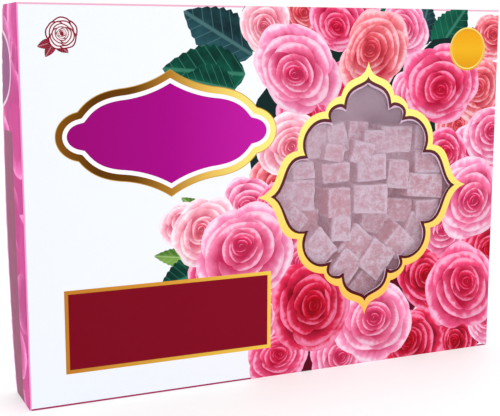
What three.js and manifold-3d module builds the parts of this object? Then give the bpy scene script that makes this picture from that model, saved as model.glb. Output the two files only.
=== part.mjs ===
// A shut retail carton of Turkish delight: a folded card box with an ornate window, a clear film
// behind the window, and the heap of starch-dusted cubes that shows through it.
// Millimetres, +Z up, the front faces -Y, and the origin is the middle of the base.
import * as THREE from "three";
import { ConvexGeometry } from "three/addons/geometries/ConvexGeometry.js";
import { RoundedBoxGeometry } from "three/addons/geometries/RoundedBoxGeometry.js";
import { mergeVertices } from "three/addons/utils/BufferGeometryUtils.js";
import Module from "manifold-3d";

const wasm = await Module();
wasm.setup();

// Driving dimensions
const CARTON = { width: 280, depth: 33.5, height: 201 };
const CARD = 0.6; // thickness of the folded card
const FOLD_RADIUS = 1.2; // outside radius of every fold
const FOLD_STEPS = 2; // facets in half a fold
const CLEARANCE = 0.3; // kept between two pieces

const WINDOW = { x: 52.1, z: 99.8 }; // centre of the window on the front panel
const CURVE_STEPS = 10; // facets in each curved stretch of the window's edge

const FILM = { thickness: 0.3, margin: 7, corner: 5 }; // the margin is the glued rim

const CUBE = 16; // usual edge of a cube of Turkish delight
const CUBE_CHAMFER = 1.1; // its softened edges
const CUBE_SKEW = 0.5; // how far a corner strays from square
const HEAP_TOP = 130; // height of the heap's core above the base
const HEAP_SHELF = 20; // how far the core stands back from the film behind the window
const BAY = { left: 76, right: 84, bottom: 78 }; // the core's recess, out from the window's centre

// Faces worked out from them
const FRONT = -CARTON.depth / 2;
const BACK_INSIDE = CARTON.depth / 2 - CARD;
const FILM_FRONT = FRONT + CARD + CLEARANCE;
const HEAP_FRONT = FILM_FRONT + FILM.thickness + CLEARANCE;
const HEAP_BACK = BACK_INSIDE - CLEARANCE;
const HEAP_SIDE = CARTON.width / 2 - CARD - CLEARANCE;
const HEAP_BASE = CARD + CLEARANCE;

// One quarter of the window's edge, from its top tip to its right tip, as [across, up] from the
// centre. Each row is a Bezier stretch's two handles and its end: ogee tip, small lobe, large
// lobe and side ogee.
const WINDOW_TIP = [0, 59.4];
const WINDOW_QUARTER = [
  [[4.0, 55.1], [13.6, 57.1], [13.3, 44.7]],
  [[21.7, 48.4], [25.2, 44.0], [20.7, 36.7]],
  [[29.1, 42.6], [43.5, 34.0], [35.7, 19.0]],
  [[49.4, 22.9], [47.7, 5.8], [55.4, 0]],
];

// The cubes that show, placed from the window's centre: [across, depth behind the film, up], edges
// [width, depth, height] and turns in degrees [tip forward, lean to the right, turn to the right].
const CUBES = [
  { at: [-28, 12, 28.5], size: [13.5, 15, 18.5], turn: [2, -2, 4] },
  { at: [-16, 12, 30], size: [13, 16, 16.5], turn: [3, -14, 8] },
  { at: [-19.5, 6.5, 23], size: [11.5, 12, 9.5], turn: [6, 10, 5] },
  { at: [-1, 14.5, 32], size: [13, 15, 13.5], turn: [2, 2, 4] },
  { at: [7, 11, 27], size: [14, 15, 14], turn: [4, 4, 6] },
  { at: [-1, 7.5, 22], size: [13.5, 12, 12], turn: [4, 18, 4] },
  { at: [6, 9.5, 12.5], size: [18, 15, 14.5], turn: [2, -4, -4] },
  { at: [24, 12, 28], size: [19, 15, 15], turn: [2, 2, -3] },
  { at: [24.5, 9, 8], size: [12.5, 14, 16], turn: [0, 3, -8] },
  { at: [5.5, 8, -5], size: [20.5, 14, 16.5], turn: [0, 2, -5] },
  { at: [42, 9, 0.5], size: [23, 15, 13.5], turn: [0, 5, -5] },
  { at: [45, 9.5, 14.5], size: [17, 14, 12.5], turn: [0, 2, -7] },
  { at: [41.5, 12, 28.5], size: [11, 14, 15], turn: [0, 1, 3] },
  { at: [-37, 8.5, 13.5], size: [12.5, 13, 9.5], turn: [0, -1, -8] },
  { at: [-36.5, 9.5, -0.5], size: [12.5, 13, 17.5], turn: [0, 1, -6] },
  { at: [-16.5, 9, 11.5], size: [16, 14, 11.5], turn: [4, -6, -6] },
  { at: [-16, 9, -5.5], size: [15, 16.5, 15.5], turn: [0, 0, 2] },
  { at: [-13.5, 8.5, -21], size: [12, 14.5, 14.5], turn: [0, 1, -3] },
  { at: [-49, 10, -1], size: [13, 14, 18], turn: [0, 3, -8] },
  { at: [-44, 9.5, -15], size: [15, 14, 15], turn: [0, 44, -4] },
  { at: [-28, 8.5, -30], size: [18, 15, 16], turn: [5, 46, -2] },
  { at: [-32, 14.5, -15.5], size: [13, 13, 13], turn: [0, 8, 4] },
  { at: [-11, 9.5, -44], size: [16, 15, 20], turn: [3, 38, 3] },
  { at: [-3.5, 10, -30.5], size: [16.5, 15, 18.5], turn: [3, 37, 3] },
  { at: [9, 8.5, -39.5], size: [18, 15, 19], turn: [3, 37, 5] },
  { at: [24.5, 9, -30], size: [16.3, 16, 15], turn: [9, 43, 3] },
  { at: [39.5, 13, -24.5], size: [14.5, 15, 14], turn: [0, 27, 0] },
  { at: [29, 15.5, -14], size: [17, 14, 14], turn: [0, 4, -6] },
  { at: [46, 11, -15.5], size: [14.5, 15, 14], turn: [0, -2, -6] },
  { at: [4, 13.5, -56.5], size: [15, 15, 15], turn: [0, 40, 0] },
  { at: [39.5, 11, -39.5], size: [15, 15, 15], turn: [0, 30, -6] },
  { at: [-27, 12, -47.5], size: [14, 14, 14], turn: [0, 20, 6] },
  { at: [11.5, 17.5, -19], size: [16, 15, 14], turn: [0, 20, 4] },
];

// The cubes round them, in rows that the card's edge hides from straight ahead
const ROW_PITCH = 16.5;
const ROW_TOP = 34; // height of the rows above the window's centre
const ROW_DEPTH = 10;
const BACK_ROW_DEPTH = 24; // the second layer, mostly sunk in the core
const PLACED_FIELD = { across: 77.5, up: 82.5 }; // half diagonals of the hand-placed cubes' lozenge
// How far a row's cube strays in place and in size, and how far it turns, in degrees
const ROW_STRAY = { place: [1.5, 0.8, 1.5], size: [1.5, 1, 1.5], turn: [8, 14, 20] };
const SEED = 7;

// A repeatable stream of numbers from 0 to 1
function randomFrom(seed) {
  let state = seed;
  return () => {
    state = (state * 1664525 + 1013904223) % 4294967296;
    return state / 4294967296;
  };
}

const random = randomFrom(SEED);
const stray = (amount) => (2 * random() - 1) * amount;

// A three.js geometry, placed by a matrix, as a solid for joining and cutting
function solidOf(geometry, matrix = new THREE.Matrix4()) {
  const placed = geometry.clone().applyMatrix4(matrix);
  placed.deleteAttribute("normal");
  placed.deleteAttribute("uv");
  const merged = mergeVertices(placed, 1e-4);
  return new wasm.Manifold(
    new wasm.Mesh({
      numProp: 3,
      vertProperties: merged.attributes.position.array,
      triVerts: new Uint32Array(merged.index.array),
    }),
  );
}

// A solid back as a three.js geometry
function geometryOf(solid) {
  const mesh = solid.getMesh();
  return new THREE.BufferGeometry()
    .setAttribute("position", new THREE.BufferAttribute(mesh.vertProperties, 3))
    .setIndex(new THREE.BufferAttribute(mesh.triVerts, 1));
}

function named(name, geometry, material) {
  const flatShaded = geometry.index ? geometry.toNonIndexed() : geometry;
  flatShaded.computeVertexNormals();
  const mesh = new THREE.Mesh(flatShaded, material);
  mesh.name = name;
  return mesh;
}

function boxBetween(low, high) {
  const size = new THREE.Vector3().subVectors(high, low);
  const middle = new THREE.Vector3().addVectors(low, high).multiplyScalar(0.5);
  return new THREE.BoxGeometry(size.x, size.y, size.z).translate(middle.x, middle.y, middle.z);
}

// The window's outline about its own centre: the quarter, mirrored up and across
function windowShape() {
  const shape = new THREE.Shape().moveTo(...WINDOW_TIP);
  const forwards = [];
  let start = WINDOW_TIP;
  for (const [handle, secondHandle, end] of WINDOW_QUARTER) {
    forwards.push([start, handle, secondHandle, end]);
    start = end;
  }
  const backwards = forwards.map((stretch) => [...stretch].reverse()).reverse();
  const quarters = [
    [forwards, 1, 1],
    [backwards, 1, -1],
    [forwards, -1, -1],
    [backwards, -1, 1],
  ];
  for (const [stretches, across, up] of quarters) {
    for (const [, handle, secondHandle, end] of stretches) {
      shape.bezierCurveTo(
        across * handle[0], up * handle[1],
        across * secondHandle[0], up * secondHandle[1],
        across * end[0], up * end[1],
      );
    }
  }
  return shape;
}

function roundedRectangle(halfWidth, halfHeight, radius) {
  const shape = new THREE.Shape();
  shape.absarc(halfWidth - radius, halfHeight - radius, radius, 0, Math.PI / 2);
  shape.absarc(radius - halfWidth, halfHeight - radius, radius, Math.PI / 2, Math.PI);
  shape.absarc(radius - halfWidth, radius - halfHeight, radius, Math.PI, 1.5 * Math.PI);
  shape.absarc(halfWidth - radius, radius - halfHeight, radius, 1.5 * Math.PI, 2 * Math.PI);
  return shape;
}

// A shape drawn in the front panel's plane about the window's centre, from one depth to another
function behindWindow(shape, from, to) {
  return new THREE.ExtrudeGeometry(shape, {
    depth: to - from,
    bevelEnabled: false,
    curveSegments: CURVE_STEPS,
  })
    .rotateX(Math.PI / 2)
    .translate(WINDOW.x, to, WINDOW.z);
}

// The folded carton: a thin closed box with round folds, cut through at the window
function carton() {
  const outside = new RoundedBoxGeometry(
    CARTON.width, CARTON.depth, CARTON.height, FOLD_STEPS, FOLD_RADIUS,
  );
  const inside = new RoundedBoxGeometry(
    CARTON.width - 2 * CARD,
    CARTON.depth - 2 * CARD,
    CARTON.height - 2 * CARD,
    FOLD_STEPS,
    FOLD_RADIUS - CARD,
  );
  const lift = new THREE.Matrix4().makeTranslation(0, 0, CARTON.height / 2);
  const opening = behindWindow(windowShape(), FRONT - CARD, FRONT + 2 * CARD);
  return geometryOf(
    solidOf(outside, lift).subtract(solidOf(inside, lift)).subtract(solidOf(opening)),
  );
}

// The clear sheet glued behind the front panel
function windowFilm() {
  const halfWidth = WINDOW_QUARTER.at(-1).at(-1)[0] + FILM.margin;
  const halfHeight = WINDOW_TIP[1] + FILM.margin;
  const sheet = roundedRectangle(halfWidth, halfHeight, FILM.corner);
  return behindWindow(sheet, FILM_FRONT, FILM_FRONT + FILM.thickness);
}

// A cut cube: a block with softened edges and corners that stray a little from square
function cutCube([width, depth, height], chamfer) {
  const points = [];
  for (const x of [-1, 1]) {
    for (const y of [-1, 1]) {
      for (const z of [-1, 1]) {
        const half = new THREE.Vector3(
          width / 2 + stray(CUBE_SKEW),
          depth / 2 + stray(CUBE_SKEW),
          height / 2 + stray(CUBE_SKEW),
        );
        const side = new THREE.Vector3(x, y, z);
        for (const keep of ["x", "y", "z"]) {
          const corner = half.clone().subScalar(chamfer);
          corner[keep] = half[keep];
          points.push(corner.multiply(side));
        }
      }
    }
  }
  return new ConvexGeometry(points);
}

// A cube where it lies in the heap
function cubeInHeap({ at, size, turn, chamfer = CUBE_CHAMFER }) {
  const [across, behind, up] = at;
  const mesh = new THREE.Mesh(cutCube(size, chamfer));
  mesh.position.set(WINDOW.x + across, HEAP_FRONT + behind, WINDOW.z + up);
  mesh.rotation.set(...turn.map(THREE.MathUtils.degToRad));
  mesh.updateMatrixWorld();
  return solidOf(mesh.geometry, mesh.matrixWorld);
}

// A cube of a row, a little out of place, size and square
function strayCube(...place) {
  return {
    at: place.map((value, axis) => value + stray(ROW_STRAY.place[axis])),
    size: ROW_STRAY.size.map((amount) => CUBE + stray(amount)),
    turn: ROW_STRAY.turn.map(stray),
    chamfer: 0,
  };
}

// Rows of cubes: round the hand-placed ones in the front layer, and everywhere in the second,
// where they are half a pitch across and a quarter down from the first
function rowCubes() {
  const cubes = [];
  for (let up = ROW_TOP - ROW_PITCH / 2; up > -BAY.bottom; up -= ROW_PITCH) {
    for (let across = -BAY.left + ROW_PITCH / 2; across < BAY.right; across += ROW_PITCH) {
      const outside = Math.abs(across) / PLACED_FIELD.across + Math.abs(up) / PLACED_FIELD.up > 1;
      if (outside) cubes.push(strayCube(across, ROW_DEPTH, up));
      cubes.push(strayCube(across + ROW_PITCH / 2, BACK_ROW_DEPTH, up - ROW_PITCH / 4));
    }
  }
  return cubes;
}

// The heap: a core that fills the carton's length, stands back behind the window, and has the
// cubes fused on there
function heap() {
  const low = new THREE.Vector3(-HEAP_SIDE, HEAP_FRONT, HEAP_BASE);
  const high = new THREE.Vector3(HEAP_SIDE, HEAP_BACK, HEAP_TOP);
  const bay = boxBetween(
    new THREE.Vector3(WINDOW.x - BAY.left, FRONT, WINDOW.z - BAY.bottom),
    new THREE.Vector3(WINDOW.x + BAY.right, HEAP_FRONT + HEAP_SHELF, CARTON.height),
  );
  let solid = solidOf(boxBetween(low, high)).subtract(solidOf(bay));
  for (const cube of [...CUBES, ...rowCubes()]) solid = solid.add(cubeInHeap(cube));
  const room = boxBetween(low, new THREE.Vector3(HEAP_SIDE, HEAP_BACK, CARTON.height - HEAP_BASE));
  const bodies = solid.intersect(solidOf(room)).decompose();
  bodies.sort((a, b) => b.volume() - a.volume());
  return geometryOf(bodies[0]);
}

const printedCard = new THREE.MeshStandardMaterial({
  color: 0xf4f2f6, roughness: 0.35, side: THREE.DoubleSide,
});
const clearFilm = new THREE.MeshStandardMaterial({
  color: 0xe9e4ec, roughness: 0.1, transparent: true, opacity: 0.3,
});
const dustedCubes = new THREE.MeshStandardMaterial({ color: 0xcdb9c6, roughness: 0.85 });

const model = new THREE.Group();
model.add(named("carton", carton(), printedCard));
model.add(named("window_film", windowFilm(), clearFilm));
model.add(named("delight_heap", heap(), dustedCubes));

export default model;
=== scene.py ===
"""Looks of a shut retail carton of Turkish delight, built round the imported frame.

A folded card carton stands upright. Its front has a die-cut ornate window with a clear film
behind it, and a heap of starch-dusted cubes shows through. The print is ink in the card itself:
each sheet of card is meshed so that every printed shape has its own triangles, and each corner
of a triangle carries the shape's inks. Drawing lengths are millimetres; MM turns them to metres.
"""

import math
import random

import bpy
import numpy as np
from mathutils import Matrix, Vector, geometry, noise


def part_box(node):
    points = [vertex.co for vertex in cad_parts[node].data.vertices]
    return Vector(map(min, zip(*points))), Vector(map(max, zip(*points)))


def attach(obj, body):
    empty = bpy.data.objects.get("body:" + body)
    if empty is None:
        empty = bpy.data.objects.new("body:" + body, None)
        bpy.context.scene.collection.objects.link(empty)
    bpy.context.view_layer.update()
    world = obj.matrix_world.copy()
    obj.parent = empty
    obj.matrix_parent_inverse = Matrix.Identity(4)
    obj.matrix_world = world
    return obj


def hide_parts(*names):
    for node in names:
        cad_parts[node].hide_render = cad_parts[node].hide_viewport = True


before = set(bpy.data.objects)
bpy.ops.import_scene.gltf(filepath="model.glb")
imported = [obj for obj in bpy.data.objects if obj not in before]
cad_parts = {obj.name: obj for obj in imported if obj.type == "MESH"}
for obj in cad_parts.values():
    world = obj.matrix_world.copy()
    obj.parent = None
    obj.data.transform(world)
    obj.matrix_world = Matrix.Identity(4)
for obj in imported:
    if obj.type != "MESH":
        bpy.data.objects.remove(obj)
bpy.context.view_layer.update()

MM = 0.001
SEED = 11

# -------- sizes read from the frame
CARTON_LOW, CARTON_HIGH = (Vector(corner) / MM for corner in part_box("carton"))
FILM_LOW, FILM_HIGH = (Vector(corner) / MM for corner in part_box("window_film"))
HEAP_LOW, HEAP_HIGH = (Vector(corner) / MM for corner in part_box("delight_heap"))
WIDTH, DEPTH, HEIGHT = CARTON_HIGH - CARTON_LOW
WINDOW = np.array([(FILM_LOW.x + FILM_HIGH.x) / 2, (FILM_LOW.z + FILM_HIGH.z) / 2])

# -------- sizes of the finish
CARD = 0.5  # thickness of the card, a little under the solid's
FOLD_RADIUS = 1.2
FRONT_BOW = 0.5  # how far a filled carton's large panels stand proud
SIDE_BOW = 0.3  # the same for the narrow ones
SWELL = 2.3  # how far the back folds spread half-way up, where the filling presses on them
LATTICE = 8.0  # spacing of the points that let a sheet of card follow its bow
CURVE_STEPS = 12
ANY_ANGLE = 6.28  # nearly a whole turn, for angles drawn at random


def srgb(red, green, blue):
    """A colour given as 0-255 in sRGB, as linear light."""
    value = np.array([red, green, blue], float) / 255
    return np.where(value <= 0.04045, value / 12.92, ((value + 0.055) / 1.055) ** 2.4)


def paint(*colour):
    """A colour given as 0-255 in sRGB, for a node's socket."""
    return (*srgb(*colour), 1.0)


# ======== nodes
NOISE_RANGE = (0.3, 0.7)  # where most of a noise's values lie


class Graph:
    """A material's nodes, with short names for the ones that this script uses."""

    def __init__(self, name):
        self.material = bpy.data.materials.new(name)
        self.material.use_nodes = True
        self.tree = self.material.node_tree
        self.shader = self.tree.nodes["Principled BSDF"]
        self.place = self.node("ShaderNodeTexCoord").outputs["Object"]

    def plug(self, value, socket):
        if isinstance(value, bpy.types.NodeSocket):
            self.tree.links.new(value, socket)
        else:
            socket.default_value = value

    def node(self, kind, *values, **settings):
        made = self.tree.nodes.new(kind)
        for key, value in settings.items():
            setattr(made, key, value)
        for value, socket in zip(values, made.inputs):
            self.plug(value, socket)
        return made

    def math(self, operation, *values):
        return self.node("ShaderNodeMath", *values, operation=operation).outputs[0]

    def plus(self, first, second):
        return self.math("ADD", first, second)

    def minus(self, first, second):
        return self.math("SUBTRACT", first, second)

    def times(self, first, second):
        return self.math("MULTIPLY", first, second)

    def ramp(self, value, low, high, to_low=0.0, to_high=1.0, smooth=True):
        kind = "SMOOTHSTEP" if smooth else "LINEAR"
        made = self.node("ShaderNodeMapRange", value, low, high, to_low, to_high, interpolation_type=kind)
        return made.outputs["Result"]

    def sway(self, noise_value, low, high):
        """A noise stretched so that it mostly runs from low to high."""
        return self.ramp(noise_value, *NOISE_RANGE, low, high, smooth=False)

    def mix(self, factor, first, second, blend="MIX"):
        made = self.node("ShaderNodeMix", data_type="RGBA", blend_type=blend)
        self.plug(factor, made.inputs["Factor"])
        self.plug(first, made.inputs[6])
        self.plug(second, made.inputs[7])
        return made.outputs[2]

    def noise(self, scale, detail=2.0, vector=None, rough=0.5):
        made = self.node("ShaderNodeTexNoise")
        self.plug(self.place if vector is None else vector, made.inputs["Vector"])
        for name, value in (("Scale", scale), ("Detail", detail), ("Roughness", rough)):
            made.inputs[name].default_value = value
        return made.outputs["Fac"]

    def attribute(self, name):
        return self.node("ShaderNodeAttribute", attribute_name=name).outputs

    def split(self, vector):
        return self.node("ShaderNodeSeparateXYZ", vector).outputs

    def join(self, x, y, z):
        return self.node("ShaderNodeCombineXYZ", x, y, z).outputs[0]

    def bump(self, height, strength, distance):
        made = self.node("ShaderNodeBump")
        self.plug(height, made.inputs["Height"])
        made.inputs["Strength"].default_value = strength
        made.inputs["Distance"].default_value = distance
        self.set("Normal", made.outputs[0])

    def set(self, name, value):
        self.plug(value, self.shader.inputs[name])


# How finely a petal's streaks vary along it, across it and from one petal to the next
STREAKS = (1.1, 5.0, 25.0)


def petal_inks(g, tones, along, side, cloud):
    """A petal's inks: deep at its root, then its own colour, and a pale rolled rim."""
    deep, body, rim = tones
    rho = g.math("SQRT", g.plus(g.times(along, along), g.times(side, side)))
    place = [g.times(*pair) for pair in zip((along, side, g.split(g.place)[0]), STREAKS)]
    streak = g.noise(1.0, vector=g.join(*place))
    tone = g.plus(g.times(rho, 0.62), g.times(along, 0.38))
    tone = g.plus(tone, g.sway(cloud, -0.08, 0.08))
    tone = g.plus(tone, g.sway(streak, -0.05, 0.05))
    petal = g.mix(g.ramp(tone, 0.40, 0.88), deep, body)
    petal = g.mix(g.ramp(tone, 0.78, 0.98), petal, rim)
    return g.mix(g.times(g.ramp(rho, 0.97, 1.0), 0.25), petal, body)


def leaf_inks(g, tones, along, side, cloud):
    """A leaf's inks: lighter to one side of its fold, with a pale midrib and slanting veins."""
    deep, body, rim = tones
    fold = g.times(g.ramp(side, -0.5, 0.4), 0.6)
    blade = g.mix(g.plus(fold, g.ramp(cloud, *NOISE_RANGE, -0.1, 0.35)), deep, body)
    off = g.math("ABSOLUTE", side)
    slant = g.minus(g.times(along, 7.0), g.times(off, 1.6))
    veins = g.ramp(g.math("PINGPONG", slant, 0.5), 0.07, 0.0)
    midrib = g.ramp(off, 0.11, 0.03)
    return g.mix(g.times(g.math("MAXIMUM", veins, midrib), 0.55), blade, rim)


def printed_card_material():
    """Coated card. The inks come from the mesh: three tones, and where a point lies in its petal
    or leaf. A flat ink has the same three tones, so the petal shading leaves it alone.
    """
    g = Graph("printed_card")
    layers = [g.attribute(name) for name in ("deep", "body", "rim")]
    foil, leaf_share = layers[0]["Alpha"], layers[1]["Alpha"]
    tones = [layer["Color"] for layer in layers]
    along, side, _ = g.split(g.attribute("local")["Vector"])
    cloud, grain = g.noise(120.0), g.noise(3200.0)
    petal_tone = petal_inks(g, tones, along, side, cloud)
    inks = g.mix(leaf_share, petal_tone, leaf_inks(g, tones, along, side, cloud))
    paper = g.node("ShaderNodeCombineColor", *[g.sway(grain, 0.965, 1.02)] * 3).outputs[0]
    g.set("Base Color", g.mix(1.0, inks, paper, "MULTIPLY"))
    g.set("Metallic", foil)
    g.set("Roughness", g.minus(g.ramp(cloud, 0.2, 0.8, 0.34, 0.42), g.times(foil, 0.12)))
    g.set("Specular IOR Level", 0.06)
    g.bump(g.plus(grain, g.noise(900.0)), 0.06, 0.0001)
    return g.material


def bare_card_material(name, first, second, roughness):
    """Uncoated card: the inside of the carton, or the board where it is cut."""
    g = Graph(name)
    fibres = g.noise(900.0, 4.0, rough=0.7)
    g.set("Base Color", g.mix(g.ramp(fibres, *NOISE_RANGE), first, second))
    g.set("Roughness", roughness)
    g.bump(fibres, 0.15, 0.0002)
    return g.material


def film_material():
    """Clear film with a faint haze of starch on its inside, thicker towards its upper left."""
    g = Graph("clear_film")
    haze = g.noise(45.0, 3.0)
    g.set("Base Color", g.mix(g.ramp(haze, *NOISE_RANGE), paint(222, 188, 210), paint(232, 202, 220)))
    x, _, z = g.split(g.place)
    dusting = g.ramp(g.minus(z, g.times(x, 0.8)), 0.0, 0.12, -0.03, 0.05)
    g.set("Alpha", g.plus(g.ramp(haze, *NOISE_RANGE, 0.11, 0.20), dusting))
    g.set("Roughness", 0.14)
    g.set("IOR", 1.46)
    g.bump(g.noise(60.0), 0.12, 0.0005)
    return g.material


def delight_material():
    """Rose gel under dusted starch, which lies thick on the edges and thin where a face is marked bare.
    The cubes' left faces are marked barer as painted light, and a faint emission paints a glow into the
    shade.
    """
    g = Graph("dusted_delight")
    edge, bare = g.attribute("edge")["Fac"], g.attribute("bare")["Fac"]
    fine, coarse = g.noise(820.0, 5.0, rough=0.75), g.noise(330.0, 3.0, rough=0.65)
    speckle = g.plus(g.times(fine, 0.55), g.times(coarse, 0.45))
    patches = g.noise(200.0, 3.0, rough=0.6)
    thin = g.minus(g.times(bare, 0.13), g.times(edge, 0.13))
    level = g.plus(speckle, g.sway(patches, -0.07, 0.07))
    cover = g.ramp(g.minus(level, thin), 0.36, 0.60)
    gel = g.mix(patches, paint(170, 116, 128), paint(196, 150, 160))
    gel = g.mix(g.ramp(bare, 0.35, 0.9, 0.0, 0.55, smooth=False), gel, paint(190, 104, 104))
    starch = g.mix(speckle, paint(190, 176, 190), paint(226, 220, 232))
    g.set("Base Color", g.mix(cover, gel, starch))
    g.set("Roughness", g.ramp(cover, 0.0, 1.0, 0.45, 0.9))
    g.set("Subsurface Weight", 0.3)
    g.set("Subsurface Radius", (0.004, 0.002, 0.0025))
    g.set("Subsurface Scale", 0.8)
    g.set("Sheen Weight", 0.1)
    # Painted glow: a faint rose emission that lifts the shade on and between the cubes, standing in for
    # light scattered through the gel.
    g.set("Emission Color", paint(230, 126, 138))
    g.set("Emission Strength", 0.06)
    g.bump(g.plus(speckle, g.times(g.noise(2200.0), 0.5)), 0.7, 0.0007)
    return g.material


def floor_material():
    g = Graph("studio_floor")
    g.set("Base Color", g.mix(g.noise(3.0), paint(194, 196, 196), paint(200, 201, 201)))
    g.set("Emission Color", paint(255, 255, 255))
    g.set("Emission Strength", 0.43)
    g.set("Roughness", 0.55)
    return g.material


# ======== outlines
def bezier(start, handle, second, end, steps=CURVE_STEPS):
    """Points along a Bezier stretch, without its start."""
    t = np.linspace(0, 1, steps + 1)[1:, None]
    start, handle, second, end = (np.array(p, float) for p in (start, handle, second, end))
    return (1 - t) ** 3 * start + 3 * (1 - t) ** 2 * t * handle + 3 * (1 - t) * t**2 * second + t**3 * end


def four_fold(tip, stretches):
    """A closed anticlockwise outline about the origin, from its top-right quarter.

    The quarter starts at the top tip and each stretch is two Bezier handles and an end.
    """
    quarter = [np.array([tip], float)]
    for handle, second, end in stretches:
        quarter.append(bezier(quarter[-1][-1], handle, second, end))
    quarter = np.concatenate(quarter)
    return np.concatenate([
        quarter[::-1],
        quarter[1:] * (-1, 1),
        quarter[-2::-1] * (-1, -1),
        quarter[1:-1] * (1, -1),
    ])


def heading(angle):
    return np.array([math.cos(angle), math.sin(angle)])


def angles(count):
    return np.linspace(0, 2 * math.pi, count, endpoint=False)


def circle(centre, radius, sides=40):
    """A circle, or an ellipse if the radius has two parts."""
    angle = angles(sides)
    return np.array(centre) + np.stack([np.cos(angle), np.sin(angle)], axis=1) * radius


def wobbled(reach, angle, waves, most, rng):
    """The reach of a round outline, made uneven by waves of a chance height and place."""
    for wave in waves:
        reach = reach + rng.uniform(-most, most) * np.cos(wave * angle + rng.uniform(0, ANY_ANGLE))
    return reach


def box(left, right, low, high):
    return np.array([(left, low), (right, low), (right, high), (left, high)], float)


def offset(outline, distance):
    """The outline moved outwards by a distance (inwards if it is negative).

    Points that end up nearer than that to the outline come from corners that closed up, and go.
    """
    ahead = np.roll(outline, -1, axis=0) - outline
    ahead /= np.linalg.norm(ahead, axis=1)[:, None]
    out = np.stack([ahead[:, 1], -ahead[:, 0]], axis=1)
    before = np.roll(out, 1, axis=0)
    middle = out + before
    middle /= np.maximum((middle * out).sum(axis=1), 0.35)[:, None]
    moved = outline + distance * middle
    start, end = outline, np.roll(outline, -1, axis=0)
    span = end - start
    reach = ((moved[:, None] - start) * span).sum(axis=2) / (span**2).sum(axis=1)
    nearest = start + np.clip(reach, 0, 1)[:, :, None] * span
    gap = np.linalg.norm(moved[:, None] - nearest, axis=2).min(axis=1)
    return moved[gap > abs(distance) * 0.97]


# The window as the die cuts it, about its own centre
DIE_CUT = four_fold((0, 60.1), [
    [(4.1, 55.8), (13.8, 57.8), (13.5, 45.2)],
    [(22.1, 49.0), (25.7, 44.5), (21.1, 37.1)],
    [(29.6, 43.1), (44.3, 34.4), (36.3, 19.2)],
    [(50.3, 23.2), (48.6, 5.9), (56.4, 0)],
])
# The frame printed round it, about its own centre, which lies a little off the cut's
GOLD_EDGE = four_fold((0, 71.5), [
    [(3.3, 58.2), (13.0, 67.4), (17.2, 52.9)],
    [(18.8, 53.9), (26.8, 49.3), (26.4, 45.2)],
    [(40.2, 44.2), (45.1, 32.6), (43.4, 24.3)],
    [(59.4, 22.9), (51.3, 4.0), (67.0, 0)],
])
DARK_EDGE = four_fold((0, 63.7), [
    [(1.9, 58.0), (13.8, 61.3), (15.2, 48.4)],
    [(17.4, 50.5), (27.4, 47.2), (24.5, 40.9)],
    [(35.1, 43.3), (44.1, 30.6), (39.0, 21.6)],
    [(54.2, 22.2), (49.4, 4.4), (59.7, 0)],
])
DARK_LINE = 1.8  # width of the dark line inside the gold
PRINT_SLIP = (0.25, 0.5)  # from the cut's centre to the printed frame's
PLAQUE = four_fold((0, 32.6), [
    [(6.0, 28.5), (14.0, 25.0), (24.0, 23.6)],
    [(36.0, 22.6), (43.0, 19.0), (48.3, 12.3)],
    [(55.0, 11.0), (59.8, 6.0), (59.8, 0)],
])


# ======== printed shapes
class Shape:
    """A printed shape: its outline and its inks at any point of it."""

    def __init__(self, outline, ink, foil=0.0):
        self.outline = outline
        self.ink = ink
        self.foil = foil

    def inks(self, points):
        """At each point: deep, body and rim tones with their alphas, and the local place.

        Deep's alpha says how metallic the ink is, and the other two's whether it is a leaf's.
        """
        ink = self.ink(points) if callable(self.ink) else self.ink
        tones = np.zeros((len(points), 3, 4))
        tones[:, :, :3] = np.broadcast_to(ink, (len(points), 3))[:, None]
        tones[:, 0, 3] = self.foil
        return tones, np.zeros((len(points), 2))


class Blade(Shape):
    """A petal or a leaf: three tones laid out along and across it."""

    def __init__(self, root, angle, length, width, local, tones, leaf, tilt=np.eye(2)):
        self.root = np.array(root, float)
        axis = heading(angle)
        self.frame = np.array([axis * length, np.array([-axis[1], axis[0]]) * width]) @ tilt
        self.tones = tones
        self.leaf = leaf
        super().__init__(self.root + local @ self.frame, None)

    def inks(self, points):
        tones = np.zeros((len(points), 3, 4))
        tones[:, :, :3] = self.tones
        tones[:, 1:, 3] = self.leaf
        return tones, (points - self.root) @ np.linalg.inv(self.frame)


def gradient(colours, axis, outline):
    """An ink that runs through colours along an axis, from end to end of an outline."""
    stops = np.linspace(outline[:, axis].min(), outline[:, axis].max(), len(colours))
    tones = np.array([srgb(*colour) for colour in colours])

    def ink(points):
        return np.stack([np.interp(points[:, axis], stops, tone) for tone in tones.T], axis=1)

    return ink


PETAL_SIDES = 28
PETAL_POINT, POINT_SPREAD = 0.07, 0.3  # how far its point juts, and over what angle
PETAL_FLARE = 0.2  # how much wider it is towards its end
PETAL_WOBBLE, BLOB_WOBBLE = 0.03, 0.08  # height of each wave in an outline


def petal(root, angle, length, width, tones, rng, tilt=np.eye(2)):
    """A broad petal with a slight point and an uneven edge."""
    phi = angles(PETAL_SIDES)
    off_tip = np.minimum(phi, 2 * math.pi - phi)
    reach = 1 + PETAL_POINT * np.exp(-((off_tip / POINT_SPREAD) ** 2))
    reach = wobbled(reach, phi, (2, 3, 5), PETAL_WOBBLE, rng)
    along, side = reach * np.cos(phi), reach * np.sin(phi)
    local = np.stack([along, side * (1 + PETAL_FLARE * along)], axis=1)
    return Blade(root, angle, length, width, local, tones, False, tilt)


# Rose colours in sRGB: a petal's root, its body, its rolled rim, and the rose's heart
PALETTES = {
    "pale": ((224, 96, 128), (252, 192, 210), (255, 242, 247), (232, 92, 118)),
    "pink": ((200, 40, 96), (248, 146, 190), (255, 222, 240), (222, 46, 96)),
    "coral": ((184, 36, 56), (240, 124, 136), (255, 206, 216), (216, 56, 74)),
    "hot": ((178, 10, 60), (240, 88, 140), (255, 190, 222), (214, 18, 62)),
    "red": ((124, 0, 24), (226, 40, 84), (252, 146, 186), (184, 0, 26)),
}
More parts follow.
